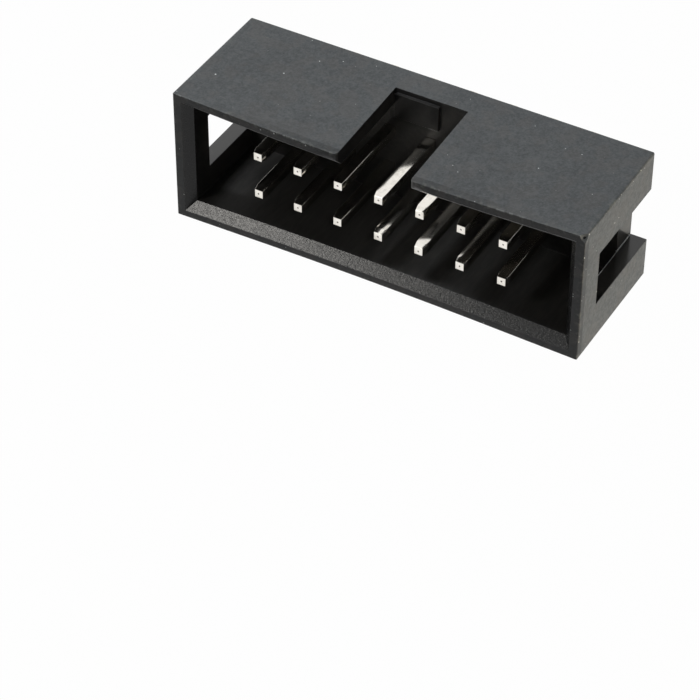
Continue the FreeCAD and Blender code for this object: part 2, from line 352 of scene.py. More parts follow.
@dataclass(frozen=True, kw_only=True)
class MouldedPlastic(Block):
    """Charcoal glass filled plastic: grained outside, smoother inside and coloured darker there as
    painted shade, polished slots.

    Lengths are in millimetres. Each share says how much of a tint shows where it is strongest.
    Wear and dusty specks keep to the block's edges, and each finish keeps to its own faces. Painted
    shade darkens the rim's top, the mouth's upper band, the inside and the recess corners, and
    painted highlights run along the rim's long edges and down one inner edge of a slot.
    """

    base: Colour = (0.068, 0.072, 0.074, 1)
    dark: Colour = (0.036, 0.039, 0.041, 1)
    worn: Colour = (0.135, 0.138, 0.122, 1)
    # Pale colour of the painted highlight down one inner edge of the slot at -X.
    line: Colour = (0.5, 0.52, 0.54, 1)
    # Pale colour of the dust specks, and of the painted highlight along the rim's long edges.
    dust_and_glint: Colour = (0.52, 0.54, 0.53, 1)
    warm: Colour = (0.074, 0.067, 0.062, 1)
    # Inside colours, darker than the outside plastic as painted shade.
    core_painted_shade: Colour = (0.024, 0.0235, 0.023, 1)
    core_painted_shade_pale: Colour = (0.031, 0.03, 0.029, 1)
    # Near black: the chamfer's own colour, and the colour of the painted shade on the rim, the
    # mouth and inside, and of the painted shadow in the recess corners.
    deep: Colour = (0.006, 0.006, 0.006, 1)
    roughness: float = 0.46
    specular: float = 0.16
    grain_depth: float = 0.009
    lead_roughness: float = 0.22
    lead_specular: float = 0.25
    lead_grain_depth: float = 0.008
    core_roughness: float = 0.34
    core_specular: float = 0.07
    slot_roughness: float = 0.18
    slot_specular: float = 0.5
    # Share of painted shade on the rim's top and the mouth's upper band.
    rim_painted_shade: float = 0.76
    warm_share: float = 0.2
    worn_share: float = 0.3
    fin_glint_share: float = 0.12
    speck_share: float = 0.85
    dust_plain: float = 0.012
    dust_on_edges: float = 0.08
    dust_at_chip: float = 0.4
    edge_wear: float = 0.4
    mouth_wear: float = 0.2
    fin_glint_reach: float = 0.085
    chip_reach: float = 0.6
    crisp: float = 0.02
    wall_rim: float = 0.37
    keyed_chamfer: float = -2.8
    key_back: float = -2.6
    key_flare: float = 0.3
    flare_front: float = -3.86
    chip: Point = (-12.55, -4.1, 8.7)

    def bow(self, graph: Graph) -> Signal:
        """How far the long walls lean in at the rim: a parabola along them, 0 at both ends.

        Args:
            graph: The graph that gets the nodes.

        Returns:
            The lean in millimetres.
        """
        x, y, _ = graph.axes()
        along = (1 - x * x * (self.half_length - self.wall) ** -2).at_least(0.0)
        keyed_side = (0 - y).ramp(-0.1, 0.1)
        return along * (keyed_side * (self.bow_keyed - self.bow_plain) + self.bow_plain)

    def near_mouth(self, graph: Graph) -> Signal:
        """1 on the edge between the rim and the chamfer, and 0 from mouth_wear off it.

        Args:
            graph: The graph that gets the nodes.

        Returns:
            The mask.
        """
        x, y, z = graph.axes()
        off_wall = abs(abs(y) + self.bow(graph) - (self.half_width - self.rim_width))
        off_end = abs(abs(x) - (self.half_length - self.rim_width))
        beside = off_wall.ramp(self.mouth_wear, 0.03).at_least(off_end.ramp(self.mouth_wear, 0.03))
        return beside * (self.rim - z).ramp(self.mouth_wear, self.crisp)

    def near_edges(self, graph: Graph) -> Signal:
        """1 on the block's outer edges, and 0 from edge_wear off them.

        The distance to each side of the block, and to the wall that bows, is turned into a
        nearness, and an edge is where two of them are high together.

        Args:
            graph: The graph that gets the nodes.

        Returns:
            The mask.
        """
        x, y, z = graph.axes()
        off_front = self.half_width - abs(y)
        off_wall = self.half_width - self.bow(graph) - abs(y)
        gaps = (self.half_length - abs(x), off_front, self.rim - z, off_wall)
        end, front, top, wall = (gap.ramp(self.edge_wear, self.crisp) for gap in gaps)
        return (end * front).at_least(end * top).at_least(wall * top)

    def cavity(self, graph: Graph) -> Signal:
        """1 on the cavity's floor and on its walls up to the chamfer, and 0 elsewhere.

        Args:
            graph: The graph that gets the nodes.

        Returns:
            The mask.
        """
        x, y, z = graph.axes()
        within = (self.half_length - self.wall + 0.03 - abs(x)).ramp(0.0, 0.03)
        between = (self.half_width - self.wall + 0.13 - abs(y)).ramp(0.0, 0.03)
        below = (self.rim - self.lead_in - 0.01 - z).ramp(0.0, 0.03)
        return within * between * below * (z - self.floor).ramp(-0.04, -0.02)

    def keyway(self, graph: Graph) -> Signal:
        """1 on the sides of the keyway and on its flare at the rim, and 0 elsewhere.

        Args:
            graph: The graph that gets the nodes.

        Returns:
            The mask.
        """
        x, y, z = graph.axes()
        ahead = (self.key_back - y).ramp(0.0, 0.05)
        beside = (self.half_key + 0.012 - abs(x)).ramp(0.0, 0.01)
        sides = beside * (self.rim - 0.1 - z).ramp(0.0, 0.1) * (z - self.floor).ramp(-0.02, 0.0)
        flare = (self.half_key + self.key_flare - abs(x)).ramp(0.0, self.crisp)
        flare = flare * (y - self.flare_front).ramp(0.0, 0.04)
        flare = flare * (z - self.rim + self.key_flare).ramp(0.0, 0.05)
        flare = flare * (self.rim - 0.03 - z).ramp(0.0, 0.08)
        return sides.at_least(flare) * ahead

    def recess_painted_shadow(self, graph: Graph) -> Signal:
        """1 in the painted shadow in the upper corner of the base's end faces, behind the slots,
        and 0 elsewhere.

        Args:
            graph: The graph that gets the nodes.

        Returns:
            The mask.
        """
        x, y, z = graph.axes()
        face = abs(abs(x) - self.half_length + self.wall).ramp(0.04, 0.02)
        # Painted shadow: dark beyond a 45 degree line across the end face, towards +Y and up.
        corner = (z + y).ramp(2.22, 2.34) * (self.floor + 0.1 - z).ramp(0.0, 0.05)
        return face * corner * (self.half_slot - abs(y)).ramp(-0.02, 0.0)

    def slot_glints(self, graph: Graph) -> Signal:
        """1 on the thin painted highlight down one inner edge of the slot at -X, else 0.

        Args:
            graph: The graph that gets the nodes.

        Returns:
            The mask.
        """
        x, y, z = graph.axes()
        upright = abs(x + self.half_length - self.wall).ramp(0.09, 0.03)
        below = (self.slot_top - 0.1 - z).ramp(0.0, 0.1)
        return upright * abs(y - self.half_slot).ramp(0.05, 0.02) * below

    def slot_sides(self, graph: Graph) -> Signal:
        """1 on the two side faces of each slot, and 0 elsewhere.

        Args:
            graph: The graph that gets the nodes.

        Returns:
            The mask.
        """
        x, y, z = graph.axes()
        outer = (self.half_slot + 0.012 - abs(y)).ramp(0.0, 0.01)
        inner = (abs(y) - self.half_slot + 0.05).ramp(0.0, 0.02)
        within = (abs(x) - self.half_length + self.wall).ramp(0.01, 0.03)
        below = (self.slot_top + 0.01 - z).ramp(0.0, 0.01)
        return outer * inner * within * below * (1 - self.slot_glints(graph))

    def fin_glints(self, graph: Graph) -> Signal:
        """1 on the ragged bright line along the long edges of the rim, partly a mould fin and
        partly a painted highlight, and 0 elsewhere.

        Args:
            graph: The graph that gets the nodes.

        Returns:
            The mask.
        """
        _, y, z = graph.axes()
        off_wall = abs(self.half_width - self.bow(graph) - abs(y)).ramp(self.fin_glint_reach, 0.04)
        off_rim = abs(z - self.rim).ramp(self.fin_glint_reach, 0.04)
        ragged = graph.noise(3.4, 3, 0.7, (1.0, 0.4, 0.4))
        stretch = graph.noise(0.3, 1, along=(1.0, 0.0, 0.0))
        shown = (ragged - 0.47).ramp(0.0, 0.1) * (stretch - 0.46).ramp(0.0, 0.15)
        return off_wall * off_rim * shown

    def beside_chip(self, graph: Graph) -> Signal:
        """1 at the chipped corner of the rim, and 0 from chip_reach off it."""
        x, y, z = (axis - middle for axis, middle in zip(graph.axes(), self.chip))
        return (x * x + y * y + z * z).root().ramp(self.chip_reach, 0.5 * self.chip_reach)

    def chamfer(self, graph: Graph) -> Signal:
        """1 on the lead-in chamfer, between the cavity's walls and the rim, and 0 elsewhere.

        Args:
            graph: The graph that gets the nodes.

        Returns:
            The mask.
        """
        x, y, z = graph.axes()
        above = (z - self.rim + self.lead_in).ramp(-self.crisp, 0.0)
        below = (self.rim - z).ramp(0.0, self.crisp)
        within = (self.half_length - self.rim_width - abs(x)).ramp(0.0, self.crisp)
        between = (self.half_width - self.wall_rim - abs(y)).ramp(0.0, self.crisp)
        at_end = (self.half_width - self.half_length + y + abs(x)).ramp(0.0, self.crisp)
        not_keyed = (y - self.keyed_chamfer).ramp(0.0, 0.1)
        return above * below * within * between * not_keyed.at_least(at_end)

    def shell(self, graph: Graph) -> Signal:
        """The grained outside, with clouds of tone, rubbed edges, scuffs and dusty specks, painted
        shade on the rim's top and the mouth's upper band, and painted highlights along the rim's
        long edges and down one slot edge.

        Args:
            graph: The graph that gets the nodes.

        Returns:
            The shader.
        """
        x, y, z = graph.axes()
        edges, chipped = self.near_edges(graph), self.beside_chip(graph)
        clouds = graph.noise(0.55, 3)
        patches = graph.noise(2.6, 3, 0.6)
        coarse = graph.noise(4.5, 2, 0.6)
        grain = graph.noise(8, 3, 0.7)
        fine = graph.noise(24, 2, 0.6)
        end_face = (abs(x) - self.half_length).ramp(-0.03, 0.0)
        tone = (clouds - 0.5) * 0.7 + 0.5
        for layer, share in ((patches, 1.2), (coarse, 1.2), (grain, 2.0)):
            tone = tone + (layer - 0.5) * (end_face * 2.0 + share)
        colour = graph.blend(tone.ramp(-0.2, 1.2), self.dark, self.base)
        # Painted shade: the rim's top faces, and the upper band just inside the mouth away from the
        # chip, are darkened towards deep.
        rim = (z - self.rim).ramp(-self.crisp, 0.0)
        mouth = (self.half_width - self.rim_width - abs(y)).ramp(-0.4, 0.0)
        mouth_painted_shade = mouth * (self.rim - z).ramp(0.5, 0.45) * (1 - chipped) * 0.9
        colour = graph.blend(rim.at_least(mouth_painted_shade) * self.rim_painted_shade, colour, self.deep)
        warmth = (graph.noise(0.9, 2) - 0.48).ramp(0.0, 0.1)
        rubbed = edges * (graph.noise(3.2, 3) - 0.5).ramp(0.0, 0.2)
        streaks = graph.noise(3.0, 2, along=(0.5, 3.0, 3.0))
        scuffs = (streaks - 0.68).ramp(0.0, 0.06) * (clouds - 0.42).ramp(0.0, 0.2)
        dusty = edges.at_least(self.near_mouth(graph)) * self.dust_on_edges
        dusty = self.dust_plain + dusty + chipped * self.dust_at_chip
        specks = graph.flecks(2.6, 0.13, dusty)
        specks = specks.at_least(graph.flecks(6.0, 0.26, dusty * 0.9))
        for share, tint in (
            (warmth * self.warm_share, self.warm),
            (rubbed * self.worn_share, self.worn),
            # Painted highlight, partly a real fin: ragged pale streaks along the rim's long edges.
            (self.fin_glints(graph) * self.fin_glint_share, self.dust_and_glint),
            # Painted highlight down one inner edge of the slot at -X.
            (self.slot_glints(graph), self.line),
            (scuffs * self.worn_share, self.worn),
            (specks * self.speck_share, self.dust_and_glint),
        ):
            colour = graph.blend(share, colour, tint)
        roughness = self.roughness + (grain - 0.5) * 0.2 + rubbed * 0.08 + specks * 0.2
        normal = graph.bump(coarse * 0.5 + grain * 0.5 + fine * 0.2, self.grain_depth)
        return graph.principled(colour, roughness, self.specular, normal)

    def lead(self, graph: Graph) -> Signal:
        """The smoother chamfer, with a close speckle.

        Args:
            graph: The graph that gets the nodes.

        Returns:
            The shader.
        """
        speckle = graph.noise(7, 3, 0.75)
        colour = graph.blend((speckle - 0.45).ramp(0.0, 0.3) * 0.35, self.deep, self.dark)
        roughness = self.lead_roughness + (speckle - 0.5) * 0.3
        normal = graph.bump(speckle, self.lead_grain_depth)
        return graph.principled(colour, roughness, self.lead_specular, normal)

    def painted_shade_lining(self, graph: Graph) -> Signal:
        """The smoother finish that the inside of the mould leaves, coloured darker than the outside
        as painted shade, with deeper painted shade in the keyway and near the ends towards the top,
        and painted shadow in the recess corners.

        Args:
            graph: The graph that gets the nodes.

        Returns:
            The shader.
        """
        faint = graph.noise(5, 3, 0.6, (1.0, 1.0, 0.15))
        x, y, z = graph.axes()
        key = (self.half_key + 0.4 - abs(x)).ramp(0.0, 0.1) * (-1.8 - y).ramp(0.0, 0.6)
        past_end = (abs(x) - self.half_length + self.wall).ramp(0.0, 0.1)
        # Painted shade: darker in the keyway and, near the ends, towards the top; the painted
        # shadow of the recess corners joins it below.
        shaded = key.at_least(past_end * (z - 3.0).ramp(0.0, 3.0)) * 0.7
        colour = graph.blend((faint - 0.35).ramp(0.0, 0.4), self.core_painted_shade, self.core_painted_shade_pale)
        colour = graph.blend(shaded.at_least(self.recess_painted_shadow(graph)), colour, self.deep)
        roughness = self.core_roughness + (faint - 0.5) * 0.12
        return graph.principled(colour, roughness, self.core_specular)

    def polished(self, graph: Graph) -> Signal:
        """The polished sides of the slots, in which the white ground shows.

        Args:
            graph: The graph that gets the nodes.

        Returns:
            The shader.
        """
        faint = graph.noise(5, 3, 0.6)
        roughness = self.slot_roughness + (faint - 0.5) * 0.08
        # The slot sides take the inside's dark painted-shade colour.
        return graph.principled(self.core_painted_shade, roughness, self.slot_specular)

    def surface(self, graph: Graph) -> Signal:
        """Each finish on its own faces; the inside's finish is coloured darker as painted shade.

        Args:
            graph: The graph that gets the nodes.

        Returns:
            The shader.
        """
        inside = self.cavity(graph).at_least(self.keyway(graph)).at_least(self.recess_painted_shadow(graph))
        inside = inside * (1 - self.slot_glints(graph))
        outer = graph.mix(self.chamfer(graph), self.shell(graph), self.lead(graph))
        most = graph.mix(inside, outer, self.painted_shade_lining(graph))
        return graph.mix(self.slot_sides(graph), most, self.polished(graph))


@dataclass(frozen=True)
class GlossyPlastic:
    """The same plastic where the mould is polished, as on the ribs and the standoffs."""

    base: Colour = (0.022, 0.023, 0.023, 1)
    pale: Colour = (0.036, 0.037, 0.036, 1)
    roughness: float = 0.2
    specular: float = 0.4
    grain_depth: float = 0.0015

    def surface(self, graph: Graph) -> Signal:
        """A faint grain in tone, roughness and height.

        Args:
            graph: The graph that gets the nodes.

        Returns:
            The shader.
        """
        grain = graph.noise(7, 3, 0.6)
        colour = graph.blend((grain - 0.4).ramp(0.0, 0.3), self.base, self.pale)
        roughness = self.roughness + (grain - 0.5) * 0.2
        normal = graph.bump(grain, self.grain_depth)
        return graph.principled(colour, roughness, self.specular, normal)


@dataclass(frozen=True)
class TinPlate:
    """Bright tin over drawn and coined copper alloy, in millimetres along the post."""

    bright: Colour = (0.86, 0.83, 0.77, 1)
    dull: Colour = (0.56, 0.52, 0.45, 1)
    dent_shade: Colour = (0.10, 0.09, 0.08, 1)
    roughness: float = 0.085
    grain_depth: float = 0.003
    tip: float = 8.1
    tail: float = -3.0
    pitch: float = 2.54
    end_face: float = 0.02
    dent_radius: float = 0.07

    def dent_shades(self, graph: Graph, ends: Signal) -> Signal:
        """1 in a small dark spot of painted shade at the middle of each end, with no hollow in the
        shape, found from the grid of the posts.

        Args:
            graph: The graph that gets the nodes.
            ends: 1 on the ends of the posts.

        Returns:
            The mask.
        """
        x, y, _ = graph.axes()
        half = 0.5 * self.pitch
        across, along = x.wrap(-half, half), (y + half).wrap(-half, half)
        ragged = (graph.noise(9) - 0.5) * 0.08
        distance = (across * across + along * along).root() + ragged
        return distance.ramp(self.dent_radius, 0.03) * ends

    def surface(self, graph: Graph) -> Signal:
        """Drawn lines and stains along the post, and rougher grain with a spot of painted shade on
        its ends.

        Args:
            graph: The graph that gets the nodes.

        Returns:
            The shader.
        """
        _, _, z = graph.axes()
        drawn = graph.noise(14, 3, 0.6, (1.0, 1.0, 0.035))
        stains = graph.noise(2.4, 3)
        end_grain = graph.noise(22, 2)
        ends = (self.tip - z).at_most(z - self.tail).ramp(self.end_face, 0.5 * self.end_face)
        shade = (stains - 0.45).ramp(0.0, 0.3) * 0.4 + (drawn - 0.55).ramp(0.0, 0.2) * 0.25
        colour = graph.blend(shade, self.bright, self.dull)
        # Painted shade: a small dark spot at the middle of each end, where the shape stays flat.
        colour = graph.blend(self.dent_shades(graph, ends), colour, self.dent_shade)
        roughness = self.roughness + (drawn - 0.5) * 0.1 + stains * 0.05 + ends * 0.3
        normal = graph.bump(drawn * (1 - ends) * 0.05 + end_grain * ends, self.grain_depth)
        return graph.principled(colour, roughness, normal=normal, metallic=1.0)


# Surfaces


def loft(rings: np.ndarray) -> Surface:
    """Joins closed rings of points into a solid.

    Point (i, j) is the j-th point of the i-th ring; each four neighbours make a face, and the first
    and the last ring are closed by a flat face each.

    Args:
        rings: Points of shape (rings, points in a ring, 3), each ring anticlockwise about the way
            the rings run.

    Returns:
        The points in one list and the faces.
    """
    count, size, _ = rings.shape
    i, j = np.meshgrid(np.arange(count - 1) * size, np.arange(size), indexing="ij")
    following = (j + 1) % size
    quads = np.stack([i + j, i + following, i + size + following, i + size + j], -1)
    faces: list[Sequence[int]] = quads.reshape(-1, 4).tolist()
    faces.append(list(range(size))[::-1])
    faces.append(list(range((count - 1) * size, count * size)))
    return rings.reshape(-1, 3), faces


def carried(sections: Iterable[np.ndarray], places: Iterable[float], axis: int = 2) -> Surface:
    """Lofts flat outlines that stand one behind the other.

    Args:
        sections: Outlines of shape (n, 2), in the other two axes.
        places: Where each of them stands along the axis.
        axis: The axis, 0 to 2.

    Returns:
        The closed surface.
    """
    rings = [np.insert(outline, axis, place, 1) for outline, place in zip(sections, places)]
    return loft(np.stack(rings))


def rectangles(sections: Sequence[tuple[float, float, float, float, float]]) -> Surface:
    """Lofts level rectangles, one for each (height, low x, high x, low y, high y).

    Args:
        sections: The rectangles, from the lowest to the highest.

    Returns:
        The closed surface.
    """
    z, x0, x1, y0, y1 = np.array(sections, float).T
    x = np.stack([x0, x1, x1, x0], 1)
    y = np.stack([y0, y0, y1, y1], 1)
    return loft(np.stack([x, y, np.repeat(z[:, None], 4, 1)], -1))


def soft_square(half: float, radius: float, per_corner: int = 5) -> np.ndarray:
    """A square with rounded corners.

    Each corner is a quarter circle of the radius about a point that far in from both sides.

    Args:
        half: Half the square's side.
        radius: Radius of its corners.
        per_corner: Points to a corner.

    Returns:
        Points of shape (4 * per_corner, 2), anticlockwise.
    """
    quarter = np.arange(4)[:, None] * pi / 2
    angle = quarter + np.linspace(0, pi / 2, per_corner)[None, :]
    middle = quarter + pi / 4
    reach = (half - radius) * sqrt(2)
    x = reach * np.cos(middle) + radius * np.cos(angle)
    y = reach * np.sin(middle) + radius * np.sin(angle)
    return np.stack([x.ravel(), y.ravel()], -1)


def circle(radius: float, count: int) -> np.ndarray:
    """Points of shape (count, 2) round a circle, anticlockwise."""
    angle = np.arange(count) * 2 * pi / count
    return radius * np.stack([np.cos(angle), np.sin(angle)], -1)


def make_object(name: str, surface: Surface) -> bpy.types.Object:
    """An object at the origin with a mesh of these points in millimetres, linked to the scene.

    Args:
        name: Its name.
        surface: Its points and faces.

    Returns:
        The object.
    """
    points, faces = surface
    mesh = bpy.data.meshes.new(name)
    mesh.from_pydata((points * MM).tolist(), [], faces)
    mesh.update()
    made = bpy.data.objects.new(name, mesh)
    bpy.context.scene.collection.objects.link(made)
    return made


def smooth(mesh: bpy.types.Mesh, angle: float = 38.0) -> None:
    """Shades a mesh smooth, apart from edges sharper than the angle in degrees."""
    mesh.polygons.foreach_set("use_smooth", np.ones(len(mesh.polygons), bool))
    mesh.set_sharp_from_angle(angle=radians(angle))


def edge_ends(edge: bmesh.types.BMEdge) -> np.ndarray:
    """The two ends of an edge, of shape (2, 3), in millimetres."""
    return np.array([vertex.co for vertex in edge.verts]) / MM


@contextmanager
def editing(mesh: bpy.types.Mesh) -> Iterator[bmesh.types.BMesh]:
    """Opens a mesh for work on its edges, and writes it back at the end.

    Args:
        mesh: The mesh that changes.

    Yields:
        The open mesh.
    """
    work = bmesh.new()
    work.from_mesh(mesh)
    yield work
    work.to_mesh(mesh)
    work.free()


def add_piece(made: bpy.types.Object, material: bpy.types.Material) -> None:
    """Dresses a finished piece and lets it ride on the part's one body.

    Args:
        made: The finished object.
        material: Its material.
    """
    made.data.materials.clear()
    made.data.materials.append(material)
    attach(made, BODY)
    LOG.info("piece %s: %d faces", made.name, len(made.data.polygons))


@dataclass(frozen=True, kw_only=True)
class Shroud(Block):
    """The moulding: block, cavity, keyway, slots, recesses, ribs and standoffs, in millimetres.

    Angles are in degrees. The cutters reach past the block, or just past a face, so that no two
    faces fall together. near is the slack with which an edge counts as being on a face, and pole
    the share of its radius to which a dome's last ring shrinks.
    """

    plastic: bpy.types.Material
    polished: bpy.types.Material
    underside: float = 0.35
    end_lead_in: float = 0.48
    key_radius: float = 0.25
    key_depth: float = 0.6
    pitch: float = 2.54
    ways: int = 7
    post_side: float = 0.64
    recess_side: float = 1.4
    recess_depth: float = 0.5
    support_x: tuple[float, ...] = (-10.7, 0.0, 10.7)
    standoff_y: float = 3.0
    standoff_radius: float = 0.5
    standoff_root: float = 0.2
    rib_radius: float = 0.45
    rib_proud: float = 0.2985
    rib_top: float = 8.1
    rib_gap: float = 0.02
    pad: tuple[float, float, float, float] = (-0.55, 2.25, -3.95, -2.35)
    pad_height: float = 0.2
    pad_root: float = 0.3
    panel: tuple[float, float, float, float] = (-8.225, -2.475, 3.05, 5.85)
    panel_depth: float = 0.1
    mark_y: float = 3.05
    mark_z: float = 2.9
    mark_radius: float = 0.5
    mark_depth: float = 0.05
    bow_power: float = 1.4
    bow_from: float = 0.6
    bow_span: float = 0.15
    corner_round: float = 0.12
    rim_round: float = 0.06
    small_round: float = 0.035
    round_steps: int = 3
    sharp_turn: float = 30.0
    outline_turn: float = 5.0
    near: float = 0.01
    facets: int = 32
    pole: float = 0.02
    past: float = 1.0
    just_past: float = 0.5
    chips: tuple[tuple[Point, Point], ...] = (
        ((-13.22, -4.71, 9.3), (1.2, 1.2, 1.2)),
        ((-12.5, -4.06, 8.58), (0.09, 0.08, 0.09)),
    )

    def bow(self, points: np.ndarray) -> np.ndarray:
        """Leans the long walls inwards as the real moulding's do.

        The lean is a parabola along the length that is 0 at both ends, times the height above the
        cavity's floor as a share of the wall's, to the power bow_power. It grows from 0 to full
        over bow_span from bow_from on, both as shares of the half width.

        Args:
            points: Points of shape (n, 3), in millimetres.

        Returns:
            The moved points.
        """
        x, y, z = points.T
        along = 1 - np.clip(np.abs(x) / (self.half_length - self.wall), 0, 1) ** 2
        up = np.clip((z - self.floor) / (self.rim - self.floor), 0, 1) ** self.bow_power
        reach = np.where(y < 0, self.bow_keyed, self.bow_plain)
        out = np.clip((np.abs(y) / self.half_width - self.bow_from) / self.bow_span, 0, 1)
        moved = points.copy()
        moved[:, 1] -= np.sign(y) * reach * along * up * out
        return moved

    def key_profile(self) -> np.ndarray:
        """The keyway's outline in (x, z), with quarter circles flaring at the rim.

        Returns:
            Points of shape (n, 2), anticlockwise.
        """
        half, top = self.half_key, self.rim
        turn = np.linspace(pi, pi / 2, 6)
        right_x = half + self.key_radius + self.key_radius * np.cos(turn)
        right_z = top - self.key_radius + self.key_radius * np.sin(turn)
        right = np.stack([right_x, right_z], -1)
        left = right[::-1] * (-1, 1)
        above = np.array([[right_x[-1], top + self.past], [-right_x[-1], top + self.past]])
        return np.concatenate([[[-half, self.floor], [half, self.floor]], right, above, left])

    def cutters(self) -> list[Surface]:
        """The solids taken out of the block, in order: cavity, keyway, slots, panel and marks.

        Returns:
            Their closed surfaces.
        """
        inner_x, inner_y = self.half_length - self.wall, self.half_width - self.wall
        mouth_x, mouth_y = inner_x + self.end_lead_in, inner_y + self.lead_in
        deep, wide = (-inner_x, inner_x, -inner_y, inner_y), (-mouth_x, mouth_x, -mouth_y, mouth_y)
        cavity = [(self.floor, *deep), (self.rim - self.lead_in, *deep)]
        cavity += [(self.rim, *wide), (self.rim + self.just_past, *wide)]
        key_ends = (-inner_y + self.key_depth, -self.half_width - self.past)
        found = [rectangles(cavity), carried([self.key_profile()] * 2, key_ends, 1)]
        half, outside_x = self.half_slot, self.half_length + self.past
        for low, high in ((-outside_x, -inner_x), (inner_x, outside_x)):
            slot = (low, high, -half, half)
            found.append(rectangles([(-self.past, *slot), (self.slot_top, *slot)]))
        x0, x1, z0, z1 = self.panel
        back = self.half_width - self.panel_depth, self.half_width + self.past
        found.append(rectangles([(z0, x0, x1, *back), (z1, x0, x1, *back)]))
        for middle in (-self.mark_y, self.mark_y):
            mark = circle(self.mark_radius, 48) + (middle, self.mark_z)
            found.append(carried([mark] * 2, (self.half_length - self.mark_depth, outside_x), 0))
        return found

    def chip(self, middle: Point, reach: Point) -> Surface:
        """A small lump whose overlap with the block is a chip at one corner of the rim.

        It is an ellipsoid, pushed in and out a little by sines of its two angles.

        Args:
            middle: The lump's middle.
            reach: Its three half sizes.

        Returns:
            The closed surface.
        """
        levels, spokes, pole, uneven = 17, 26, 0.05, 0.02
        polar = np.linspace(pole, pi - pole, levels)[:, None]
        turn = (np.arange(spokes) * 2 * pi / spokes)[None, :]
        size = 1 + uneven * np.sin(9 * turn + 1) * np.sin(polar)
        size = size + uneven * np.sin(11 * polar + 2 * turn)
        x = size * np.sin(polar) * np.cos(turn)
        y = size * np.sin(polar) * np.sin(turn)
        z = -size * np.cos(polar)
        return loft(np.stack([x, y, z], -1) * reach + middle)

    def post_cutters(self) -> Surface:
        """Every stepped square hole as one surface, repeated over the grid.

        Returns:
            The closed surface.
        """
        wide, narrow = self.recess_side / 2, self.post_side / 2
        step = self.underside + self.recess_depth
        stations = (
            (self.underside - self.just_past, wide),
            (step, wide),
            (step, narrow),
            (self.floor + self.just_past, narrow),
        )
        points, faces = rectangles([(z, -half, half, -half, half) for z, half in stations])
        column = (np.arange(self.ways) - (self.ways - 1) / 2) * self.pitch
        row = np.array([-0.5, 0.5]) * self.pitch
        shift = np.stack([*np.meshgrid(column, row), np.zeros((2, self.ways))], -1)
        copies = (points[None] + shift.reshape(-1, 1, 3)).reshape(-1, 3)
        starts = range(0, len(copies), len(points))
        return copies, [[start + index for index in face] for start in starts for face in faces]

    def carve(self, block: bpy.types.Object, surface: Surface, operation: str) -> None:
        """Takes a closed surface out of the block, or joins it on.

        Args:
            block: The object that changes.
            surface: The closed surface.
            operation: DIFFERENCE or UNION.
        """
        tool = make_object("cutter", surface)
        modifier = block.modifiers.new("carve", "BOOLEAN")
        modifier.operation, modifier.solver, modifier.object = operation, "EXACT", tool
        self.settle(block)
        bpy.data.objects.remove(tool)

    def settle(self, block: bpy.types.Object) -> None:
        """Turns the block's modifiers into its mesh.

        Args:
            block: The object that changes.
        """
        graph = bpy.context.evaluated_depsgraph_get()
        result = bpy.data.meshes.new_from_object(block.evaluated_get(graph))
        block.modifiers.clear()
        old, block.data = block.data, result
        bpy.data.meshes.remove(old)

    def move_points(self, mesh: bpy.types.Mesh, move: Callable[[np.ndarray], np.ndarray]) -> None:
        """Passes a mesh's points through a function of points in millimetres.

        Args:
            mesh: The mesh that changes.
            move: Gives the new points for the old ones, of shape (n, 3).
        """
        points = np.empty(len(mesh.vertices) * 3, np.float32)
        mesh.vertices.foreach_get("co", points)
        moved = move(points.reshape(-1, 3).astype(float) / MM) * MM
        mesh.vertices.foreach_set("co", moved.astype(np.float32).ravel())
        mesh.update()

    def on_outside(self, ends: np.ndarray) -> tuple[bool, bool]:
        """Whether an edge lies on the outside of an end wall, and whether of a long wall.

        Args:
            ends: The edge's two ends.

        Returns:
            The two answers.
        """
        on_end = bool(np.all(np.abs(ends[:, 0]) > self.half_length - 2 * self.near))
        on_wall = np.abs(ends[:, 1]) > self.half_width - self.bow_keyed - 5 * self.near
        return on_end, bool(np.all(on_wall))

    def in_mouth(self, ends: np.ndarray) -> bool:
        """Whether an edge lies wholly above the foot of the lead-in chamfer."""
        return bool(np.all(ends[:, 2] > self.rim - self.lead_in - self.near))

    def at_key(self, ends: np.ndarray, slack: float) -> bool:
        """Whether an edge lies in the keyway's width, with some slack, on the keyed side."""
        beside = np.abs(ends[:, 0]) < self.half_key + self.key_radius + slack
        return bool(np.all(beside & (ends[:, 1] < 0)))

    def weigh_edges(self, mesh: bpy.types.Mesh) -> None:
        """Gives each sharp edge the share of the largest rounding that it has.

        Upright outer corners have the whole, outer edges of the rim and base a half, and the other
        edges that turn by over sharp_turn degrees a little. The chamfer's own edges have none.

        Args:
            mesh: The mesh that changes.
        """
        with editing(mesh) as work:
            layer = work.edges.layers.float.new("bevel_weight_edge")
            for edge in work.edges:
                turn = edge.calc_face_angle(0.0)
                if len(edge.link_faces) != 2 or turn < radians(self.sharp_turn):
                    continue
                ends = edge_ends(edge)
                on_end, on_wall = self.on_outside(ends)
                outer = on_end or on_wall
                if self.in_mouth(ends) and not (outer or self.at_key(ends, self.near)):
                    continue
                height = ends[0, 2]
                level = abs(height - ends[1, 2]) < self.near
                at_rim, at_base = height > self.rim - self.near, height < self.underside + self.near
                rounding = self.small_round
                if on_end and on_wall and not level:
                    rounding = self.corner_round
                elif outer and level and (at_rim or at_base):
                    rounding = self.rim_round
                edge[layer] = rounding / self.corner_round

    def part_chamfer(self, mesh: bpy.types.Mesh) -> None:
        """Marks the lead-in chamfer's outline sharp, so that roundings keep off its normals.

        Args:
            mesh: The mesh that changes.
        """
        reach = np.array([self.half_length, self.half_width]) - self.wall + self.lead_in
        with editing(mesh) as work:
            for edge in work.edges:
                ends = edge_ends(edge)
                in_band = self.in_mouth(ends) and bool(np.all(np.abs(ends[:, :2]) < reach))
                bends = edge.calc_face_angle(0.0) > radians(self.outline_turn)
                if in_band and bends and not self.at_key(ends, 10 * self.near):
                    edge.smooth = False

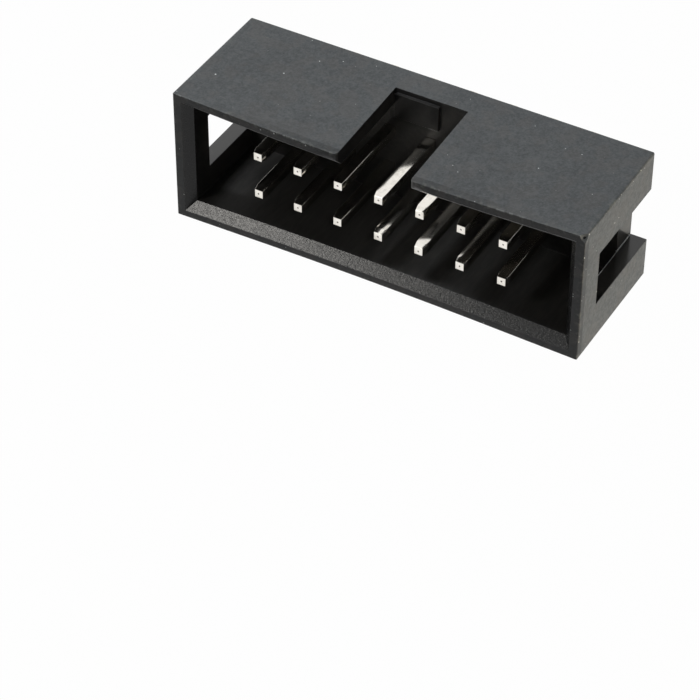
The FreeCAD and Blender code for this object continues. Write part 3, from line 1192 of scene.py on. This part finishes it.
    def cut_across(self, mesh: bpy.types.Mesh) -> None:
        """Cuts every face on planes across the length, between columns, so that walls can bow.

        Args:
            mesh: The mesh that changes.
        """
        steps = np.arange(-(self.ways // 2) - 1, self.ways // 2 + 2)
        with editing(mesh) as work:
            for x in steps * self.pitch - np.sign(steps) * self.pitch / 2:
                everything = work.verts[:] + work.edges[:] + work.faces[:]
                bmesh.ops.bisect_plane(
                    work, geom=everything, dist=1e-7, plane_co=(x * MM, 0, 0), plane_no=(1, 0, 0)
                )

    def build_block(self) -> None:
        """The carved block, bowed and with every edge rounded."""
        half_x, half_y = self.half_length, self.half_width
        outside = [(z, -half_x, half_x, -half_y, half_y) for z in (self.underside, self.rim)]
        pad = [(z, *self.pad) for z in (self.floor - self.pad_root, self.floor + self.pad_height)]
        block = make_object("shroud", rectangles(outside))
        for surface in self.cutters():
            self.carve(block, surface, "DIFFERENCE")
        self.carve(block, rectangles(pad), "UNION")
        self.carve(block, self.post_cutters(), "DIFFERENCE")
        self.cut_across(block.data)
        self.move_points(block.data, self.bow)
        self.weigh_edges(block.data)
        bevel = block.modifiers.new("rounded_edges", "BEVEL")
        bevel.limit_method, bevel.use_clamp_overlap = "WEIGHT", False
        bevel.width, bevel.segments = self.corner_round * MM, self.round_steps
        self.settle(block)
        for middle, reach in self.chips:
            self.carve(block, self.chip(middle, reach), "DIFFERENCE")
        limit = np.array([half_x, half_y, self.rim])
        self.move_points(block.data, lambda points: np.clip(points, -limit, limit))
        smooth(block.data)
        self.part_chamfer(block.data)
        weighted = block.modifiers.new("flat_faces", "WEIGHTED_NORMAL")
        weighted.keep_sharp = True
        add_piece(block, self.plastic)
        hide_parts("housing")

    def build_round(self, name: str, surface: Surface) -> None:
        """Makes a rib or a standoff, in the polished finish.

        Args:
            name: The piece's name.
            surface: Its points and faces.
        """
        made = make_object(name, surface)
        smooth(made.data)
        add_piece(made, self.polished)

    def build_ribs(self) -> None:
        """Half-round ribs up the rear wall: a circle carried up, then shrunk over a quarter."""
        turn = np.linspace(0, pi / 2, 8)[1:]
        top, radius = self.rib_top, self.rib_radius
        straight = np.linspace(self.underside + self.rib_gap, top - radius, 12)
        heights = np.concatenate([straight, top - radius * (1 - np.sin(turn))])
        shrunk = radius * np.maximum(np.cos(turn), self.pole)
        radii = np.concatenate([np.full(len(straight), radius), shrunk])
        outline = circle(1.0, self.facets)
        y = self.half_width - radius + self.rib_proud
        for number, x in enumerate(self.support_x, start=1):
            points, faces = carried((outline * size + (x, y) for size in radii), heights)
            self.build_round(f"rear_rib_{number}", (self.bow(points), faces))

    def build_standoffs(self) -> None:
        """Domed standoffs: an ellipse turned about an upright line, with a root in the base."""
        turn = np.linspace(0, pi / 2, 9)[::-1]
        radii = self.standoff_radius * np.append(np.maximum(np.cos(turn), self.pole), 1.0)
        dome, top = self.underside * (1 - np.sin(turn)), self.underside + self.standoff_root
        heights = np.append(dome, top)
        outline = circle(1.0, self.facets)
        places = [(x, y) for x in self.support_x for y in (-self.standoff_y, self.standoff_y)]
        for number, place in enumerate(places, start=1):
            surface = carried((outline * size + place for size in radii), heights)
            self.build_round(f"standoff_{number}", surface)

    def build(self) -> None:
        """Builds every piece of the moulding."""
        self.build_block()
        self.build_ribs()
        self.build_standoffs()


@dataclass(frozen=True)
class ContactRows:
    """The square posts, in millimetres, numbered across the rows from the end at -X."""

    plating: bpy.types.Material
    pitch: float = 2.54
    ways: int = 7
    rows: int = 2
    side: float = 0.64
    tip: float = 8.1
    tail: float = -3.0
    coin_width: float = 0.07
    coin_length: float = 0.4
    edge_radius: float = 0.02
    seat: float = 1.2
    lean: float = 0.003
    sharp_angle: float = 25.0
    seed: int = 14

    def stations(self) -> tuple[np.ndarray, np.ndarray]:
        """Heights along a post and half its side at each: flat ends, a taper, a straight shaft.

        Returns:
            The heights and the half sides, both of shape (n,).
        """
        half = self.side / 2
        end = half - self.coin_width
        rise = np.array([0.0, 0.005, 0.02, self.coin_length - 0.04, self.coin_length + 0.03])
        reach = np.array([end - 0.015, end - 0.005, end, half - 0.007, half])
        middle = np.linspace(self.tail + 1.0, self.tip - 1.0, 8)
        heights = np.concatenate([self.tail + rise, middle, self.tip - rise[::-1]])
        halves = np.concatenate([reach, np.full(len(middle), half), reach[::-1]])
        return heights, halves

    def build(self) -> None:
        """Builds each post: a rounded square carried up its line, a little out of true."""
        draw = np.random.default_rng(self.seed)
        heights, halves = self.stations()
        radii = self.edge_radius * halves / (self.side / 2)
        sections = np.stack([soft_square(half, radius) for half, radius in zip(halves, radii)])
        for way in range(self.ways):
            for row in range(self.rows):
                number = way * self.rows + row + 1
                x = (way - (self.ways - 1) / 2) * self.pitch
                y = (row - (self.rows - 1) / 2) * self.pitch
                slope = draw.uniform(-self.lean, self.lean, 2)
                offset = (heights - self.seat)[:, None, None] * slope
                surface = carried(sections + (x, y) + offset, heights)
                post = make_object(f"post_{number:02d}", surface)
                smooth(post.data, self.sharp_angle)
                add_piece(post, self.plating)
                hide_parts(f"contact_pin_{number:02d}")


@dataclass(frozen=True)
class PhotoCamera:
    """The camera as fitted to the photograph: its place in millimetres, its axes and its lens."""

    place: Point = (-59.1658, -98.1322, 115.5905)
    right: Point = (-0.868542, -0.003668, -0.495601)
    ahead: Point = (0.370413, 0.659573, -0.654032)
    focal_pixels: float = 2880.42
    sensor_width: float = 36.0
    clip_start: float = 0.005

    def build(self) -> None:
        """Makes the camera and gives it to the scene."""
        data = bpy.data.cameras.new("camera")
        data.sensor_width, data.clip_start = self.sensor_width, self.clip_start
        data.lens = self.focal_pixels / PHOTO_SIDE * data.sensor_width
        ahead = Vector(self.ahead).normalized()
        right = Vector(self.right)
        right = (right - ahead * right.dot(ahead)).normalized()
        up = right.cross(ahead)
        turn = Matrix((right, up, -ahead)).transposed().to_4x4()
        camera = bpy.data.objects.new("camera", data)
        camera.matrix_world = Matrix.Translation(Vector(self.place) * MM) @ turn
        bpy.context.scene.collection.objects.link(camera)
        bpy.context.scene.camera = camera


@dataclass(frozen=True)
class Softbox:
    """One lamp: where it stands, its width and height in millimetres, its level and its tint."""

    name: str
    place: Point
    width: float
    height: float
    level: float
    tint: Point = (1.0, 1.0, 1.0)

    def build(self) -> None:
        """Makes the lamp, aimed at the part: at level 1 a white card facing it renders white."""
        data = bpy.data.lights.new(self.name, "AREA")
        data.shape, data.color = "RECTANGLE", self.tint
        data.size, data.size_y = self.width * MM, self.height * MM
        place = Vector(self.place) * MM
        data.energy = self.level * pi**2 * place.length_squared
        lamp = bpy.data.objects.new(self.name, data)
        turn = place.to_track_quat("Z", "Y").to_matrix().to_4x4()
        lamp.matrix_world = Matrix.Translation(place) @ turn
        lamp.visible_camera = False
        bpy.context.scene.collection.objects.link(lamp)


@dataclass(frozen=True)
class Studio:
    """A white floor, a pale world and the lamps."""

    floor_height: float = -3.0
    floor_side: float = 3000.0
    floor_glow: float = 0.985
    ambient: float = 0.08
    lamps: tuple[Softbox, ...] = (
        Softbox("front_softbox", (140, -265, 18), 190, 38, 1.13, (0.95, 0.98, 1.0)),
        Softbox("left_softbox", (-292, 85, 5), 200, 16, 1.42, (1.0, 0.92, 0.76)),
        Softbox("rear_softbox", (60, 300, 22), 280, 46, 0.8),
        Softbox("right_softbox", (300, 60, 22), 240, 46, 0.4),
        Softbox("upper_softbox", (158, -210, 211), 50, 60, 0.19, (1.0, 0.97, 0.92)),
    )

    def sees_background(self, graph: Graph) -> Signal:
        """1 for a ray of the camera, a reflection or a transmission, and 0 for diffuse light.

        Args:
            graph: The graph that gets the nodes.

        Returns:
            The mask.
        """
        path = graph.node("ShaderNodeLightPath", output="Is Camera Ray")
        glossy, through = path.other("Is Glossy Ray"), path.other("Is Transmission Ray")
        return path.at_least(glossy).at_least(through)

    def build_world(self) -> None:
        """White where it is seen, and a plain level of light elsewhere."""
        world = bpy.data.worlds.new("world")
        world.use_nodes = True
        graph = Graph(world.node_tree)
        strength = self.ambient + self.sees_background(graph) * (1 - self.ambient)
        values = {"Color": (1, 1, 1, 1), "Strength": strength}
        light = graph.node("ShaderNodeBackground", None, values)
        graph.close("ShaderNodeOutputWorld", light)
        bpy.context.scene.world = world

    def floor_surface(self, graph: Graph) -> Signal:
        """A card for diffuse light, which shows nearly pure white where it is seen.

        Args:
            graph: The graph that gets the nodes.

        Returns:
            The shader.
        """
        card = graph.node("ShaderNodeBsdfDiffuse", None, {"Color": (0.8, 0.8, 0.8, 1)})
        glow = graph.node("ShaderNodeEmission", None, {"Color": (1, 1, 1, 1), "Strength": 1.0})
        return graph.mix(self.sees_background(graph) * self.floor_glow, card, glow)

    def build_floor(self) -> None:
        """A flat floor that shows white and keeps a soft shadow."""
        half, z = self.floor_side / 2, self.floor_height
        points = np.array([[-half, -half, z], [half, -half, z], [half, half, z], [-half, half, z]])
        floor = make_object("floor", (points, [[0, 1, 2, 3]]))
        floor.data.materials.append(new_material("white_floor", self.floor_surface))

    def build(self) -> None:
        """Builds the floor, the world and the lamps."""
        self.build_world()
        self.build_floor()
        for lamp in self.lamps:
            lamp.build()


def main() -> None:
    """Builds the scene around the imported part."""
    logging.basicConfig(level=logging.INFO, format="%(name)s %(message)s")
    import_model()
    bpy.context.scene.view_settings.view_transform = "Standard"
    PhotoCamera().build()
    Studio().build()
    plastic = new_material("moulded_charcoal", MouldedPlastic().surface)
    polished = new_material("moulded_gloss", GlossyPlastic().surface)
    Shroud(plastic=plastic, polished=polished).build()
    ContactRows(new_material("tin_plate", TinPlate().surface)).build()
    bpy.context.view_layer.update()


if __name__ == "__main__":
    main()
